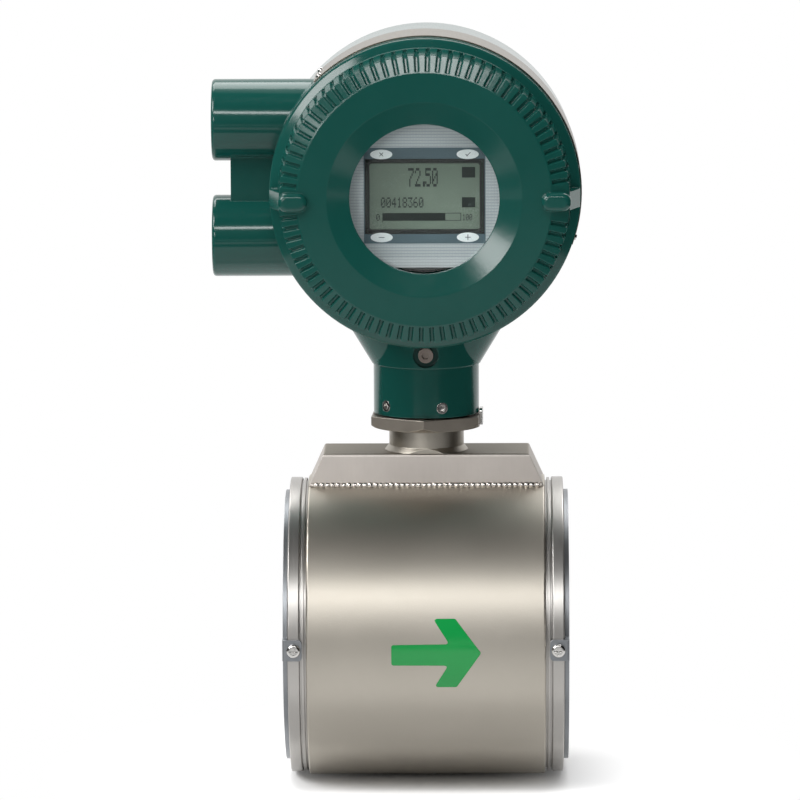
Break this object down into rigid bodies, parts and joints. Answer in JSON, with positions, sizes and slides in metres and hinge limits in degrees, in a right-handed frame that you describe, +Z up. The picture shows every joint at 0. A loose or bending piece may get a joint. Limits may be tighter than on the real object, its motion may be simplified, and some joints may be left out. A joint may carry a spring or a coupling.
{
  "type": "electromagnetic flow meter",
  "caption": "Compact wafer flow meter: a short round steel sensor with a rubber-lined bore under a round green converter head with a display window and two conduit entries.",
  "frame": {"origin": "centre of the flow tube, midway between the two earth rings' outer faces", "axes": "+X along the flow from inlet to outlet, the display faces -Y, +Z up to the converter head"},
  "size_m": [0.1572, 0.15, 0.3205],
  "materials": {
    "green_paint": "gloss dark green enamel",
    "stainless": "turned and brushed",
    "bright_screw": "bright plated",
    "nameplate_steel": "rolled, satin",
    "bare_aluminium": "machined",
    "lining_rubber": "smooth black",
    "seal_rubber": "smooth black",
    "insulator": "white",
    "magnet_steel": "dark rolled",
    "copper_winding": "varnished winding",
    "clear_glass": "polished",
    "bezel_foil": "printed silver foil",
    "black_plastic": "moulded",
    "lcd_panel": "green-grey liquid crystal panel",
    "circuit_board": "solder resist",
    "brass_standoff": "turned",
    "terminal_plastic": "moulded"
  },
  "bodies": {
    "sensor": {"lining": "lining_rubber", "measuring_tube": "stainless", "inlet_flange_ring": "stainless", "outlet_flange_ring": "stainless", "sensor_shell": "stainless", "inlet_earth_ring": "stainless", "outlet_earth_ring": "stainless", "ring_gaskets": "seal_rubber", "earth_ring_screws": "bright_screw", "electrodes": "stainless", "electrode_bushes": "insulator", "electrode_nuts": "bright_screw", "yoke_band": "magnet_steel", "pole_cores": "magnet_steel", "field_coils": "copper_winding", "pedestal": "stainless", "neck_pipe": "stainless", "neck_flange": "stainless", "neck_seal": "seal_rubber", "stop_tab": "bright_screw"},
    "head": {"converter_housing": "green_paint", "neck_set_screws": "bright_screw", "cover_lock_screws": "bright_screw", "nameplate_band": "nameplate_steel", "nameplate_rivets": "bright_screw", "display_bezel": "bezel_foil", "lcd_frame": "black_plastic", "lcd_glass": "lcd_panel", "display_board": "circuit_board", "bezel_spacers": "black_plastic", "board_standoffs": "brass_standoff", "main_board": "circuit_board", "board_feet": "brass_standoff", "display_screws": "bright_screw", "power_module": "black_plastic", "terminal_block": "terminal_plastic", "terminal_screws": "brass_standoff", "earth_screw": "brass_standoff"},
    "front_ring": {"front_cover_seal": "seal_rubber"},
    "front_lid": {"front_cover": "green_paint", "window_gasket": "seal_rubber", "window_glass": "clear_glass", "glass_retainer": "bare_aluminium"},
    "rear_ring": {"rear_cover_seal": "seal_rubber"},
    "rear_lid": {"rear_cover": "green_paint"}
  },
  "joints": [
    {"name": "head_turn", "type": "hinge", "parent": "sensor", "child": "head", "pos_m": [0, 0, 0.098], "axis": [0, 0, 1], "range_deg": [-90, 90]},
    {"name": "front_cover_lift", "type": "slide", "parent": "head", "child": "front_ring", "axis": [0, -1, 0], "range_m": [0, 0.01001]},
    {"name": "front_cover_turn", "type": "hinge", "parent": "front_ring", "child": "front_lid", "pos_m": [0, -0.027, 0.1896], "axis": [0, -1, 0], "range_deg": [0, 1800]},
    {"name": "rear_cover_lift", "type": "slide", "parent": "head", "child": "rear_ring", "axis": [0, 1, 0], "range_m": [0, 0.01001]},
    {"name": "rear_cover_turn", "type": "hinge", "parent": "rear_ring", "child": "rear_lid", "pos_m": [0, 0.054, 0.1896], "axis": [0, 1, 0], "range_deg": [0, 1800]}
  ],
  "couplings": [
    {"joint": "front_cover_lift", "follows": "front_cover_turn", "m_per_rad": 0.00031831},
    {"joint": "rear_cover_lift", "follows": "rear_cover_turn", "m_per_rad": 0.00031831}
  ]
}
